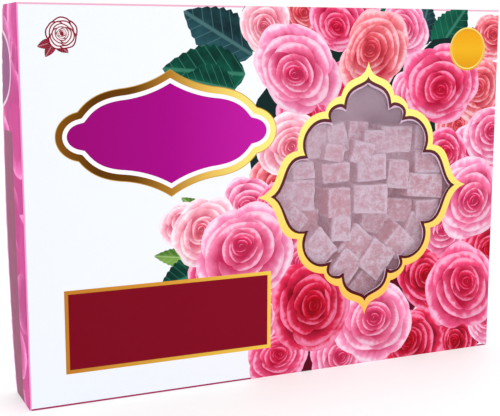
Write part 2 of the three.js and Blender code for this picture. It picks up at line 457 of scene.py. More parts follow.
# Rings of a rose from outside in: petals, offset, length and width as shares of its radius
ROSE_RINGS = (
    (5, 0.42, 0.62, 0.64),
    (4, 0.29, 0.54, 0.60),
    (3, 0.17, 0.45, 0.52),
    (3, 0.11, 0.32, 0.37),
    (3, 0.08, 0.22, 0.26),
    (2, 0.05, 0.15, 0.18),
    (2, 0.025, 0.09, 0.11),
    (1, 0.0, 0.04, 0.05),
)
RING_TWIST = 0.63  # radians that each ring turns past the last
HEART_LEVEL = 5  # the ring from which petals have the heart's colour
HEART_SHIFT = 0.2  # how far the heart of a leaning rose lies off its middle
ROSE_TILT = (0.04, 0.2)  # how far a rose is foreshortened
PETAL_SIZES, PETAL_SWAY = (0.92, 1.1), 0.35  # a petal's chance share of its size, and its turn
LIGHT = np.array([-0.35, 0.94])  # where the drawn light comes from
LIGHT_SHARE, LIGHT_CHANCE = 0.14, 0.05  # how far it brightens a petal, and the chance part


def rose(centre, radius, palette, rng):
    """A rose seen from above and a little from one side, as petals from the outside in."""
    deep, body, rim, heart = (srgb(*tone) for tone in PALETTES[palette])
    spin, lean_turn = rng.uniform(0, ANY_ANGLE), rng.uniform(0, ANY_ANGLE)
    way = heading(lean_turn)
    tilt = np.eye(2) - rng.uniform(*ROSE_TILT) * np.outer(way, way)
    shift = rng.uniform(0.3, 1.0) * HEART_SHIFT * radius
    petals = []
    for level, (count, out, length, width) in enumerate(ROSE_RINGS):
        lean = min(level / HEART_LEVEL, 1)
        for k in range(count):
            turn = spin + level * RING_TWIST + (k + rng.uniform(-0.2, 0.2)) * 2 * math.pi / count
            outwards = heading(turn)
            lit = 1 + LIGHT_SHARE * (outwards @ LIGHT) + rng.uniform(-LIGHT_CHANCE, LIGHT_CHANCE)
            tones = [
                deep + (heart * 0.6 - deep) * lean,
                (body + (heart - body) * lean) * lit,
                np.minimum((rim + (body - rim) * lean**1.2) * min(lit, 1.0), 1),
            ]
            petals.append(petal(
                np.array(centre) + radius * out * outwards @ tilt + shift * lean**0.7 * way,
                turn + rng.uniform(-PETAL_SWAY, PETAL_SWAY),
                radius * length * rng.uniform(*PETAL_SIZES),
                radius * width * rng.uniform(*PETAL_SIZES),
                tones,
                rng,
                tilt,
            ))
    return petals


LEAF_STEPS = 23  # points along each side of a leaf
LEAF_TONES = {
    "teal": ((4, 50, 42), (16, 100, 76), (70, 146, 120)),
    "green": ((60, 104, 34), (126, 168, 78), (180, 206, 140)),
    "navy": ((16, 40, 46), (40, 84, 92), (88, 132, 132)),
    "wine": ((120, 14, 34), (150, 30, 52), (226, 180, 188)),
}


def leaf(root, angle, length, width, tone):
    """A toothed leaf from its stalk to its tip."""
    t = np.linspace(0, 1, LEAF_STEPS)
    half = np.sin(math.pi * t**0.8) ** 0.85 * (1 + 0.12 * (np.arange(LEAF_STEPS) % 2))
    local = np.concatenate([
        np.stack([t, -half], axis=1),
        np.stack([t[-2:0:-1], half[-2:0:-1]], axis=1),
    ])
    return Blade(root, angle, length, width / 2, local, [srgb(*c) for c in LEAF_TONES[tone]], True)


# ======== sheets of card
HALF_W, HALF_D = WIDTH / 2, DEPTH / 2
# The sleeve unrolled: across runs round the carton from the back of its left side, with the
# front's left edge at 0, and up is the height. Each side has its start, direction and bow.
SIDES = (
    (-DEPTH, (-HALF_W, HALF_D), (0, -1), DEPTH, SIDE_BOW),
    (0.0, (-HALF_W, -HALF_D), (1, 0), WIDTH, FRONT_BOW),
    (WIDTH, (HALF_W, -HALF_D), (0, 1), DEPTH, SIDE_BOW),
    (WIDTH + DEPTH, (HALF_W, HALF_D), (-1, 0), WIDTH, FRONT_BOW),
)
SLEEVE_START, SLEEVE_END = -DEPTH, 2 * WIDTH + DEPTH
BACK_START = WIDTH + DEPTH
FOLD_TURNS = (-1.0, -0.5, 0.0, 0.5, 1.0)  # where a fold is creased, in fold radii


def wrap_sleeve(points, lift):
    """The place in space of points of the unrolled sleeve, with its bow, lift and swell."""
    across, up = points.T
    placed = np.zeros((len(points), 3))
    for first, corner, direction, length, bow in SIDES:
        here = (across >= first - 1e-6) & (across <= first + length + 1e-6)
        s = across[here] - first
        flat = np.clip(s, FOLD_RADIUS, length - FOLD_RADIUS)
        turn = (s - flat) / FOLD_RADIUS * math.pi / 4
        along = np.array(direction, float)
        out = np.array([along[1], -along[0]])
        normal = np.cos(turn)[:, None] * out + np.sin(turn)[:, None] * along
        rise = 2 * up[here] / HEIGHT - 1
        proud = bow * np.clip(1 - (2 * s / length - 1) ** 2, 0, 1) * np.clip(1 - rise**2, 0, 1) + lift
        placed[here, :2] = (
            np.array(corner) + flat[:, None] * along - FOLD_RADIUS * out
            + (FOLD_RADIUS + proud)[:, None] * normal
        )
        placed[here, 2] = up[here]
    behind = np.clip(placed[:, 1] / DEPTH + 0.5, 0, 1)
    rise = np.sin(math.pi * np.clip(up / HEIGHT, 0, 1)) ** 0.7
    placed[:, 0] *= 1 + SWELL / HALF_W * behind * rise
    return placed


LID_TUCK = 9.0  # how far the lid's front edge goes down inside the front panel
LID_GAP = 0.15  # slack between the lid and the raw edges round it
LID_PLAQUE = 0.42  # the size of the lid's plaque as a share of the front's


def lid_wrap(upside_down):
    """The mapping of a closing flap, hinged at the back and tucked in at the front.

    Across is along the carton and up runs from the hinge to the tucked edge.
    """
    proud = 0.0 if upside_down else SIDE_BOW  # the base stays clear of what it stands on
    inner_front = -HALF_D + CARD + LID_GAP
    run = HALF_D - inner_front
    radius = FOLD_RADIUS

    def place(points, lift):
        across, up = points.T
        hinge = np.clip(up / radius, 0, 1) * math.pi / 2
        tuck = np.clip((up - run + radius) / radius, 0, 1) * math.pi / 2
        flat = np.clip(up, radius, run - radius)
        down = np.maximum(up - run, 0)
        share = 2 * across / WIDTH
        bow = proud * np.clip(1 - share**2, 0, 1) * np.sin(math.pi * np.clip(up / run, 0, 1))
        reach = radius + lift
        y = np.where(up < radius, HALF_D - radius + reach * np.cos(hinge), HALF_D - flat)
        y = np.where(up > run - radius, inner_front + radius - reach * np.sin(tuck), y)
        z = np.where(up < radius, -radius + reach * np.sin(hinge), lift + bow)
        z = np.where(up > run - radius, -radius + reach * np.cos(tuck) + bow - down, z)
        z = HEIGHT - LID_GAP + z
        if upside_down:
            across, z = -across, HEIGHT - z
        return np.stack([across, y, z], axis=1)

    return place, run


def triangulated(outlines, points, edges):
    """The flat triangles of overlapping outlines, and which outlines each triangle is in."""
    vertices = [Vector(p) for p in points]
    faces = []
    for outline in outlines:
        faces.append(list(range(len(vertices), len(vertices) + len(outline))))
        vertices += [Vector(p) for p in outline]
    made = geometry.delaunay_2d_cdt(vertices, edges, faces, 1, 1e-5)
    return np.array([tuple(v) for v in made[0]]), np.array(made[2]), made[5]


def lattice(outline):
    """Points spread over an outline's box, off its edges."""
    low, high = outline.min(axis=0), outline.max(axis=0)
    counts = np.maximum(((high - low) / LATTICE).astype(int), 2)
    across, up = (np.linspace(a, b, n + 1)[1:-1] for a, b, n in zip(low, high, counts))
    return np.stack(np.meshgrid(across, up), axis=-1).reshape(-1, 2)


def open_edges(faces):
    """The half edges that have no twin, which run round the sheet and its holes."""
    half = np.concatenate([faces[:, [0, 1]], faces[:, [1, 2]], faces[:, [2, 0]]]).tolist()
    known = set(map(tuple, half))
    return np.array([edge for edge in half if (edge[1], edge[0]) not in known])


def print_inks(mesh, shapes, points, owners):
    """Give each printed corner its shape's inks and local place; the others stay at zero."""
    tones = np.zeros((len(mesh.loops), 3, 4))
    local = np.zeros((len(mesh.loops), 2))
    order = np.argsort(owners, kind="stable")
    starts = np.searchsorted(owners[order], np.arange(len(shapes) + 1))
    for shape, start, end in zip(shapes, starts, starts[1:]):
        mine = order[start:end]
        tones[mine], local[mine] = shape.inks(points[mine])
    for k, key in enumerate(("deep", "body", "rim")):
        layer = mesh.attributes.new(key, "FLOAT_COLOR", "CORNER")
        layer.data.foreach_set("color", tones[:, k].ravel())
    mesh.attributes.new("local", "FLOAT2", "CORNER").data.foreach_set("vector", local.ravel())


def new_mesh(name, points, faces, materials):
    """A mesh from points in millimetres and faces of one kind."""
    mesh = bpy.data.meshes.new(name)
    mesh.from_pydata((points * MM).tolist(), [], faces.tolist())
    for material in materials:
        mesh.materials.append(material)
    return mesh


def card_sheet(name, outline, shapes, holes, place, creases, materials):
    """A closed sheet of card: printed outside, plain inside, with its cut edges between.

    The shapes are in the order they are printed, so the last one that holds a triangle inks it.
    """
    guides = lattice(outline)
    ends = np.array(creases, float).reshape(-1, 2)
    edges = [(2 * k, 2 * k + 1) for k in range(len(creases))]
    drawn = [outline] + [shape.outline for shape in shapes] + list(holes)
    flat, faces, owners = triangulated(drawn, np.concatenate([ends, guides]), edges)
    top = np.array([max(held) if held and 0 in held else len(drawn) for held in owners])
    kept = top <= len(shapes)
    faces, top = faces[kept], top[kept]
    rim = open_edges(faces)
    border, on_rim = np.unique(rim, return_inverse=True)
    on_rim = on_rim.reshape(rim.shape)

    # The inside is meshed anew from the same edge, with the creases and a coarse lattice
    count = len(border)
    inner_points = np.concatenate([flat[border], ends, guides[::2]])
    inner_edges = on_rim.tolist() + [(count + start, count + end) for start, end in edges]
    inner_flat, inner_faces, held = triangulated([outline, *holes], inner_points, inner_edges)
    inner_faces = inner_faces[[0 in owner and len(owner) == 1 for owner in held]]

    used = np.unique(faces)
    remap = np.full(len(flat), -1)
    remap[used] = np.arange(len(used))
    # The rim's far side uses the inner sheet's own vertices where it has them
    nearest = {tuple(np.round(p, 4)): k for k, p in enumerate(inner_flat)}
    twin = np.array([nearest[tuple(np.round(p, 4))] for p in flat[border]]) + len(used)
    first, second = remap[rim].T
    first_twin, second_twin = twin[on_rim].T
    rims = np.concatenate([
        np.stack([second, first, first_twin], axis=1),
        np.stack([second, first_twin, second_twin], axis=1),
    ])
    triangles = np.concatenate([remap[faces], inner_faces[:, ::-1] + len(used), rims])
    places = np.concatenate([place(flat[used], 0.0), place(inner_flat, -CARD)])

    mesh = new_mesh(name, places, triangles, materials)
    print_inks(mesh, [Shape(outline, GROUND), *shapes], flat[faces.reshape(-1)], np.repeat(top, 3))
    counts = [len(faces), len(inner_faces), len(rims)]
    mesh.polygons.foreach_set("material_index", np.repeat([0, 1, 2], counts))
    mesh.polygons.foreach_set("use_smooth", np.repeat([True, True, False], counts))
    mesh.validate()
    return mesh


# ======== the print
GROUND = srgb(243, 245, 251)
GROUND_TINTS = ((238, 242, 251), (243, 245, 251), (246, 246, 249))  # the front, left to right
GOLD = {
    "frame": ((250, 190, 84), (255, 214, 104), (255, 236, 128), (255, 246, 142)),
    "plaque": (
        (132, 80, 12), (92, 52, 2), (104, 60, 6), (176, 122, 40), (228, 184, 84),
        (246, 222, 116), (250, 236, 134),
    ),
    "field": ((190, 122, 40), (214, 150, 50), (240, 202, 76)),
}
DARK_LINE_INK = ((80, 10, 25), (95, 48, 55))
FOIL, FRAME_FOIL = 0.2, 0.1  # how metallic the gold inks are
BLOB_SIDES = 22


def blob(centre, radii, ink, rng):
    """An uneven round patch of a dark shade, which shows between the petals."""
    reach = wobbled(1.0, angles(BLOB_SIDES), (2, 3, 4), BLOB_WOBBLE, rng)
    return Shape(centre + circle((0, 0), radii, BLOB_SIDES) * reach[:, None], ink)


# The bouquet on the front, in millimetres from its left edge and its foot: each rose's centre,
# radius and palette, those that lie underneath first
FRONT_ROSES = (
    (154, 146, 15, "hot"), (222, 152, 14, "pink"), (252, 136, 14, "coral"), (263, 120, 14, "pink"),
    (247, 72, 16, "pink"), (243, 22, 16, "pink"), (258, 6, 14, "red"), (138, 108, 15, "coral"),
    (121, 98, 14, "pink"), (172, 158, 13, "hot"), (276, 186, 13, "coral"), (186, 199, 13, "pink"),
    (151, 197, 14, "coral"), (280, 100, 14, "hot"), (277, 40, 14, "pink"), (198, 2, 14, "pink"),
    (150, 64, 15, "pink"), (136, 52, 14, "pale"), (84, 88, 12, "pale"), (100, 62, 14, "hot"),
    (130, 191, 14, "pale"), (173, 193, 16, "hot"), (216, 192, 15, "pink"), (268, 156, 17, "coral"),
    (278, 128, 17, "pink"), (279, 62, 17, "red"), (279, 18, 16, "pink"), (226, 8, 18, "red"),
    (176, 5, 17, "pink"), (138, 10, 16, "hot"), (124, 34, 15, "pink"), (139, 88, 17, "hot"),
    (94, 84, 17, "pale"), (144, 128, 17, "pale"), (244, 118, 14, "hot"), (232, 46, 17, "red"),
    (149, 169, 23, "pink"), (196, 177, 21, "coral"), (240, 160, 22, "hot"), (264, 92, 22, "pink"),
    (259, 38, 23, "hot"), (199, 24, 22, "pink"), (158, 38, 24, "red"), (118, 70, 25, "pink"),
)
# Roses that fill the window's place where the bouquet is printed again on the back
BACK_ROSES = (
    (192, 142, 18, "hot"), (166, 112, 19, "pink"), (220, 112, 19, "coral"), (176, 78, 19, "pale"),
    (212, 74, 20, "pink"), (192, 104, 24, "red"), (190, 54, 17, "coral"), (238, 88, 16, "pale"),
)
# Leaves under the roses: root, angle in degrees, length, width and tone
FRONT_LEAVES = (
    (132, 176, 108, 34, 24, "teal"), (122, 176, 150, 44, 26, "navy"), (118, 166, 176, 46, 26, "teal"),
    (112, 158, 168, 30, 20, "teal"), (140, 180, 82, 28, 18, "teal"), (224, 180, 74, 26, 18, "navy"),
    (236, 176, 52, 34, 22, "teal"), (250, 172, 24, 36, 24, "teal"), (252, 160, 2, 36, 24, "navy"),
    (262, 172, 70, 20, 16, "teal"), (222, 186, 110, 20, 14, "teal"), (206, 188, 96, 18, 14, "teal"),
    (92, 70, 172, 26, 10, "green"), (96, 64, 196, 28, 20, "teal"), (104, 58, 222, 24, 16, "navy"),
    (98, 92, 146, 20, 8, "green"),
)
FRONT_SHADOWS = (
    ((178, 166), (44, 34), "leafy"), ((250, 150), (34, 34), "leafy"), ((262, 90), (26, 66), "rosy"),
    ((205, 28), (80, 40), "rosy"), ((124, 68), (30, 28), "leafy"), ((146, 128), (24, 44), "leafy"),
    ((262, 34), (24, 38), "rosy"),
)
SHADES = {"leafy": srgb(14, 40, 38), "rosy": srgb(92, 2, 30)}
ROSE_SPREAD = 1.12  # the outer petals reach past a rose's radius


def bouquet(roses, leaves, shadows, rng):
    """Leaves, then the shades between the roses, then the roses."""
    shapes = [
        leaf((x, z), math.radians(turn), length, width, tone)
        for x, z, turn, length, width, tone in leaves
    ]
    shapes += [blob(centre, radii, SHADES[shade], rng) for centre, radii, shade in shadows]
    for x, z, radius, palette in roses:
        shapes += rose((x, z), radius * ROSE_SPREAD, palette, rng)
    return shapes


PLAQUE_AT = np.array([76.3, 136.5])
PLAQUE_LIP, PLAQUE_RIM, PLAQUE_RING = 0.4, 3.7, 2.2  # a plain gold lip, the rim, the white
PLAQUE_INK = ((150, 0, 112), (166, 0, 132), (196, 26, 166))
FIELD = box(18.8, 133, 16.5, 59.7)
FIELD_RIM = 2.0
FIELD_INK = ((122, 0, 26), (130, 2, 32))
SEAL_AT, SEAL_RADIUS = (258.2, 178.8), 12.3
# The seal's discs: how far each lies inside the seal's edge, and its ink from foot to head
SEAL_DISCS = (
    (0.0, ((222, 160, 34), (250, 218, 110))),
    (0.9, ((250, 226, 130), (214, 148, 24))),
    (1.6, ((222, 150, 20), (240, 180, 34), (236, 160, 20))),
)


def plaque(centre, scale=1.0):
    """The bare name plaque: a gold rim, a white ring and a magenta field."""
    outline = PLAQUE * scale + centre
    gold = gradient(GOLD["plaque"], 0, outline)
    ring = offset(outline, -PLAQUE_RIM * scale)
    middle = offset(outline, -(PLAQUE_RIM + PLAQUE_RING) * scale)
    return [
        Shape(outline, srgb(196, 148, 60), FOIL),
        Shape(offset(outline, -PLAQUE_LIP * scale), gold, FOIL),
        Shape(ring, srgb(250, 246, 252)),
        Shape(middle, gradient(PLAQUE_INK, 0, outline)),
    ]


def field(outline):
    """The bare text field: a gold rim round maroon."""
    return [
        Shape(outline, gradient(GOLD["field"], 0, outline), FOIL),
        Shape(offset(outline, -FIELD_RIM), gradient(FIELD_INK, 0, outline)),
    ]


def seal(centre):
    """The bare round seal: gold discs one inside the other."""
    outline = circle(centre, SEAL_RADIUS)
    return [
        Shape(circle(centre, SEAL_RADIUS - inset), gradient(ink, 1, outline), FOIL)
        for inset, ink in SEAL_DISCS
    ]


def window_frame(centre):
    """The gold frame, the dark line inside it and the pale strip up to the cut."""
    middle = centre + PRINT_SLIP
    outline = GOLD_EDGE + middle
    return [
        Shape(outline, gradient(GOLD["frame"], 1, outline), FRAME_FOIL),
        Shape(DARK_EDGE + middle, gradient(DARK_LINE_INK, 1, outline)),
        Shape(offset(DARK_EDGE, -DARK_LINE) + middle, srgb(214, 184, 208)),
    ]


EMBLEM_AT, EMBLEM_RADIUS = (21.5, 186.5), 7.6
EMBLEM_RINGS = 6  # how many of a rose's rings it has
EMBLEM_SPIN = 0.4
EMBLEM_LEAVES = (196, 238, 322)  # the angles of its leaves
EMBLEM_WHITE = 0.86  # share of a petal that is white inside its wine-red line


def emblem(centre, radius):
    """A small generic rose in wine-red and white with three leaves."""
    stalk = np.array(centre) - 0.5 * radius
    shapes = [
        leaf(stalk, math.radians(turn), radius * 1.15, radius * 0.6, "wine")
        for turn in EMBLEM_LEAVES
    ]
    wine, white = srgb(132, 22, 44), srgb(250, 240, 243)
    for level, (count, out, length, width) in enumerate(ROSE_RINGS[:EMBLEM_RINGS]):
        for k in range(count):
            turn = EMBLEM_SPIN + level * RING_TWIST + k * 2 * math.pi / count
            root = np.array(centre) + radius * out * heading(turn)
            for share, tones in ((1.0, [wine] * 3), (EMBLEM_WHITE, [wine, white, white])):
                size = (radius * length * share, radius * width * share)
                shapes.append(petal(root, turn, *size, tones, random.Random(level * 10 + k)))
    return shapes


SIDE_BAND = (3.5, 19.5)  # the band's edges, from the side's back edge
SIDE_BAND_TOP = 139
SIDE_BAND_INK = ((140, 52, 92), (152, 70, 108))
SIDE_PLAQUE = (19.5, 149, 190)  # the half plaque's reach from the back edge, its foot and head
SIDE_PLAQUE_STEPS = 10
SIDE_PLAQUE_LINE = 1.5  # width of the pale line round it
SIDE_PLAQUE_SHRINK = 20.0  # height over which the line takes its own width off
SIDE_PETALS, LID_PETALS = 64, 150


def loose_petal(root, lengths, widths, tones, rng):
    """A petal of a chance size, turned any way."""
    return petal(root, rng.uniform(0, ANY_ANGLE), rng.uniform(*lengths), rng.uniform(*widths), tones, rng)


def side_print(back_edge, forwards, rng):
    """A narrow side's ground of magenta petals. Forwards is 1 or -1, towards the front."""
    middle = back_edge + forwards * DEPTH / 2
    side = box(*sorted((back_edge, back_edge + forwards * DEPTH)), 0, HEIGHT)
    shapes = [Shape(side, srgb(214, 62, 150))]
    inks = srgb(204, 48, 140), srgb(240, 100, 184), srgb(250, 160, 214)
    for _ in range(SIDE_PETALS):
        root = (middle + rng.uniform(-0.55, 0.55) * DEPTH, rng.uniform(-5, HEIGHT + 5))
        shade = rng.uniform(0.82, 1.08)
        shapes.append(loose_petal(root, (13, 20), (12, 17), [ink * shade for ink in inks], rng))
    return shapes


def side_marks_and_fold_highlight(back_edge, forwards):
    """The bare band and half plaque, which run up to a narrow side's back edge, and a pale strip along
    that edge that is a painted highlight on the rounded back fold.
    """
    near, far = (back_edge + forwards * edge for edge in SIDE_BAND)
    band = box(*sorted((near, far)), 0, SIDE_BAND_TOP)
    shapes = [
        # Pale lavender strip from the back edge to the band: a painted highlight on the rounded back
        # fold.
        Shape(box(*sorted((back_edge, near)), 0, HEIGHT), srgb(224, 150, 204)),
        Shape(band, gradient(SIDE_BAND_INK, 1, band)),
    ]
    reach, foot, head = SIDE_PLAQUE
    middle = (foot + head) / 2
    tip = (reach, middle)
    half = np.array([
        (0, foot),
        *bezier((0, foot), (7, foot + 3), (reach, foot + 6), tip, SIDE_PLAQUE_STEPS),
        *bezier(tip, (reach, head - 6), (7, head - 3), (0, head), SIDE_PLAQUE_STEPS),
    ])
    for inset, ink in ((0.0, srgb(236, 206, 226)), (SIDE_PLAQUE_LINE, srgb(150, 70, 128))):
        up = (half[:, 1] - middle) * (1 - inset / SIDE_PLAQUE_SHRINK) + middle
        placed = np.stack([np.clip(half[:, 0] - inset, 0, None) * forwards + back_edge, up], axis=1)
        shapes.append(Shape(placed if forwards > 0 else placed[::-1], ink))
    return shapes


EDGE_TINT = 0.9  # width of the strips at the front's head and foot: pink print, and on the foot's strip painted shade


def fold_tints_and_foot_shade():
    """The front's folds at its head, foot and left, where its ground turns pink; at the foot the pink is
    darkened further with painted shade of the fold turning under.
    """
    left, right = -0.2, WIDTH + 0.2
    return [
        Shape(box(left, right, HEIGHT - EDGE_TINT, HEIGHT), srgb(236, 176, 200)),
        # The foot's strip: pink print darkened to maroon as painted shade, for the rounded fold that
        # turns down away from the light.
        Shape(box(left, right, 0, EDGE_TINT), srgb(168, 40, 92)),
        Shape(box(-0.4, 0.7, 0, HEIGHT), srgb(240, 150, 200)),
    ]


def shifted(shapes, across):
    """The same shapes, moved along the sheet."""
    for shape in shapes:
        shape.outline = shape.outline + (across, 0)
        if isinstance(shape, Blade):
            shape.root = shape.root + (across, 0)
    return shapes


def sleeve_mesh(materials):
    """The sleeve with its print, which runs round from the left side to the back."""
    rng = random.Random(SEED)
    window = WINDOW + (HALF_W, 0)
    shapes = side_print(-DEPTH, 1, rng) + side_print(WIDTH + DEPTH, -1, rng)
    front = box(0, WIDTH, 0, HEIGHT)
    shapes.append(Shape(front, gradient(GROUND_TINTS, 0, front)))
    shapes += fold_tints_and_foot_shade()
    shapes += bouquet(FRONT_ROSES, FRONT_LEAVES, FRONT_SHADOWS, rng)
    shapes += plaque(PLAQUE_AT) + field(FIELD) + seal(SEAL_AT)
    shapes += emblem(EMBLEM_AT, EMBLEM_RADIUS)
    shapes += window_frame(window)
    shapes.append(Shape(box(BACK_START, SLEEVE_END, 0, HEIGHT), GROUND))
    back = bouquet(BACK_ROSES + FRONT_ROSES, FRONT_LEAVES, FRONT_SHADOWS, rng)
    shapes += shifted(back, BACK_START)
    shapes += plaque(PLAQUE_AT + (BACK_START, 0)) + field(FIELD + (BACK_START, 0))
    shapes += side_marks_and_fold_highlight(-DEPTH, 1) + side_marks_and_fold_highlight(WIDTH + DEPTH, -1)
    # The lid is hinged on the back, so the sleeve ends there at the start of the fold
    hinge = HEIGHT - FOLD_RADIUS
    outline = np.array([
        (SLEEVE_START, 0), (SLEEVE_END, 0), (SLEEVE_END, hinge),
        (BACK_START, hinge), (BACK_START, HEIGHT), (SLEEVE_START, HEIGHT),
    ], float)
    creases = []
    for corner in (0.0, WIDTH, WIDTH + DEPTH):
        for turn in FOLD_TURNS:
            at = corner + turn * FOLD_RADIUS
            creases.append(((at, 0), (at, hinge if at > BACK_START else HEIGHT)))
    holes = [DIE_CUT + window]
    return card_sheet("folded_sleeve", outline, shapes, holes, wrap_sleeve, creases, materials)


def lid_mesh(name, upside_down, materials):
    """The top or bottom flap, printed with petals and a bare plaque."""
    rng = random.Random(SEED + 1 + upside_down)
    place, run = lid_wrap(upside_down)
    reach = HALF_W - CARD - LID_GAP
    outline = box(-reach, reach, 0, run + LID_TUCK)
    shapes = [Shape(outline, srgb(206, 60, 130))]
    tones = [srgb(190, 44, 112), srgb(236, 108, 172), srgb(252, 190, 222)]
    for _ in range(LID_PETALS):
        root = (rng.uniform(-reach, reach), rng.uniform(-4, run + 4))
        shapes.append(loose_petal(root, (12, 18), (11, 16), tones, rng))
    shapes += plaque(np.array([0, run / 2]), LID_PLAQUE)
    tuck = run - FOLD_RADIUS
    bends = FOLD_RADIUS * np.array([0.25, 0.5, 0.75, 1.0])
    creases = [((-reach, at), (reach, at)) for at in (*bends, *(tuck + bends), tuck)]
    return card_sheet(name, outline, shapes, [], place, creases, materials)


def new_object(name, data, at=(0, 0, 0), aim=None):
    """An object in the scene, which looks along a direction if one is given."""
    made = bpy.data.objects.new(name, data)
    made.location = at
    if aim is not None:
        made.rotation_euler = Vector(aim).to_track_quat("-Z", "Y").to_euler()
    bpy.context.scene.collection.objects.link(made)
    return made


def link(mesh, name):
    made = new_object(name, mesh)
    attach(made, "root")
    return made


def build_card():
    materials = [
        printed_card_material(),
        bare_card_material("card_inside", paint(232, 206, 226), paint(222, 194, 214), 0.75),
        bare_card_material("card_cut_edge", paint(232, 214, 220), paint(214, 190, 200), 0.85),
    ]
    pieces = [
        link(sleeve_mesh(materials), "folded_sleeve"),
        link(lid_mesh("top_flap", False, materials), "top_flap"),
        link(lid_mesh("bottom_flap", True, materials), "bottom_flap"),
    ]
    for piece in pieces:
        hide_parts("carton")


# ======== the film
FILM_COLUMNS, FILM_ROWS = 61, 65
FILM_THICKNESS = 0.08
FILM_SLACK = 0.10  # height of its waves
FILM_WAVES = ((1.0, 0, 0.035), (0.4, 9, 0.09))  # height, place in the noise and pitch of each


def squares(numbers):
    """The square faces of a grid of vertex numbers."""
    corners = numbers[:-1, :-1], numbers[1:, :-1], numbers[1:, 1:], numbers[:-1, 1:]
    return np.stack(corners, axis=-1).reshape(-1, 4)


def build_film():
    """The clear sheet behind the window: a thin closed sheet with slack waves."""
    middle = (FILM_LOW.y + FILM_HIGH.y) / 2
    outer = []
    for z in np.linspace(FILM_LOW.z, FILM_HIGH.z, FILM_ROWS):
        for x in np.linspace(FILM_LOW.x, FILM_HIGH.x, FILM_COLUMNS):
            wave = sum(
                height * noise.noise(Vector((x, y, z)) * pitch) for height, y, pitch in FILM_WAVES
            )
            outer.append((x, middle + FILM_SLACK * wave - FILM_THICKNESS / 2, z))
    outer = np.array(outer)
    count = len(outer)
    sheet = np.arange(count).reshape(FILM_ROWS, FILM_COLUMNS)
    here = np.concatenate([sheet[0, :-1], sheet[:-1, -1], sheet[-1, :0:-1], sheet[:0:-1, 0]])
    there = np.roll(here, -1)
    edge = np.stack([there, here, here + count, there + count], axis=1)
    faces = np.concatenate([squares(sheet)[:, ::-1], squares(sheet + count), edge])
    points = np.concatenate([outer, outer + (0, FILM_THICKNESS, 0)])
    mesh = new_mesh("clear_film", points, faces, [film_material()])
    mesh.polygons.foreach_set("use_smooth", [True] * len(faces))
    film = link(mesh, "clear_film")
    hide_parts("window_film")


# ======== the cubes
CUBE = 16.0  # a cube's usual side
ROUNDING = 1.25  # radius of a cut cube's edges
EDGE_DUST = 2.4  # how far from an edge the starch lies thicker
DISH = (0.25, 0.6)  # how far the middle of a face sinks in
LUMPS = ((0.34, 0.16), (0.20, 0.5), (0.13, 1.3))  # heights and pitches, the last on fine cubes
SKEW = 0.7  # how far a corner strays from square
PRESSED = 0.6  # how much a cube spreads where it is packed against the next
LEFT_SIDE_PAINTED_GLOW = 0.4  # how much barer, and so rosier, the faces on the left are: painted light, standing in for light that glows through the gel on those sides
# Cubes that show in the window, by where they lie: across, behind the heap's front and up from
# the window's centre; their size; their turns in degrees; and how bare of starch each is
CUBES = (
    ((-28, 12, 28.5), (13.5, 15, 18.5), (2, -2, 4), 0.1),
    ((-16, 12, 30), (13, 16, 16.5), (3, -14, 8), 0.15),
    ((-19.5, 6.5, 23), (11.5, 12, 9.5), (6, 10, 5), 0.55),
    ((-1, 14.5, 32), (13, 15, 13.5), (2, 2, 4), 0.4),
    ((7, 11, 27), (14, 15, 14), (4, 4, 6), 0.2),
    ((-1, 7.5, 22), (13.5, 12, 12), (4, 18, 4), 0.2),
    ((6, 9.5, 12.5), (18, 15, 14.5), (2, -4, -4), 0.15),
    ((24, 12, 28), (19, 15, 15), (2, 2, -3), 0.25),
    ((24.5, 9, 8), (12.5, 14, 16), (0, 3, -8), 0.35),
    ((5.5, 8, -5), (20.5, 14, 16.5), (0, 2, -5), 0.15),
    ((42, 9, 0.5), (23, 15, 13.5), (0, 5, -5), 0.45),
    ((45, 9.5, 14.5), (17, 14, 12.5), (0, 2, -7), 0.35),
    ((41.5, 12, 28.5), (11, 14, 15), (0, 1, 3), 0.3),
    ((-37, 8.5, 13.5), (12.5, 13, 9.5), (0, -1, -8), 0.3),
    ((-36.5, 9.5, -0.5), (12.5, 13, 17.5), (0, 1, -6), 0.35),
    ((-16.5, 9, 11.5), (16, 14, 11.5), (4, -6, -6), 0.45),
    ((-16, 9, -5.5), (15, 16.5, 15.5), (0, 0, 2), 0.6),
    ((-13.5, 8.5, -21), (12, 14.5, 14.5), (0, 1, -3), 0.1),
    ((-49, 10, -1), (13, 14, 18), (0, 3, -8), 0.4),
    ((-44, 9.5, -15), (15, 14, 15), (0, 44, -4), 0.3),
    ((-28, 8.5, -30), (18, 15, 16), (5, 46, -2), 0.15),
    ((-32, 14.5, -15.5), (13, 13, 13), (0, 8, 4), 0.8),
    ((-11, 9.5, -44), (16, 15, 20), (3, 38, 3), 0.3),
    ((-3.5, 10, -30.5), (16.5, 15, 18.5), (3, 37, 3), 0.4),
    ((9, 8.5, -39.5), (18, 15, 19), (3, 37, 5), 0.25),
    ((24.5, 9, -30), (16.3, 16, 15), (9, 43, 3), 0.4),
    ((39.5, 13, -24.5), (14.5, 15, 14), (0, 27, 0), 0.4),
    ((29, 15.5, -14), (17, 14, 14), (0, 4, -6), 0.6),
    ((46, 11, -15.5), (14.5, 15, 14), (0, -2, -6), 0.4),
    ((4, 13.5, -56.5), (15, 15, 15), (0, 40, 0), 0.5),
    ((39.5, 11, -39.5), (15, 15, 15), (0, 30, -6), 0.4),
    ((-27, 12, -47.5), (14, 14, 14), (0, 20, 6), 0.4),
    ((11.5, 17.5, -19), (16, 15, 14), (0, 20, 4), 0.5),
)
ROW_PITCH = 16.5  # from one cube in a row to the next, and from row to row
ROW_SIZES = (-1, 0.8)  # what a cube in a row measures over CUBE
ROW_TURNS = (6, 10, 8)  # the most that it is turned about each axis, in degrees
ROW_STRAY = (0.8, 0.5, 0.8)  # the most that it strays
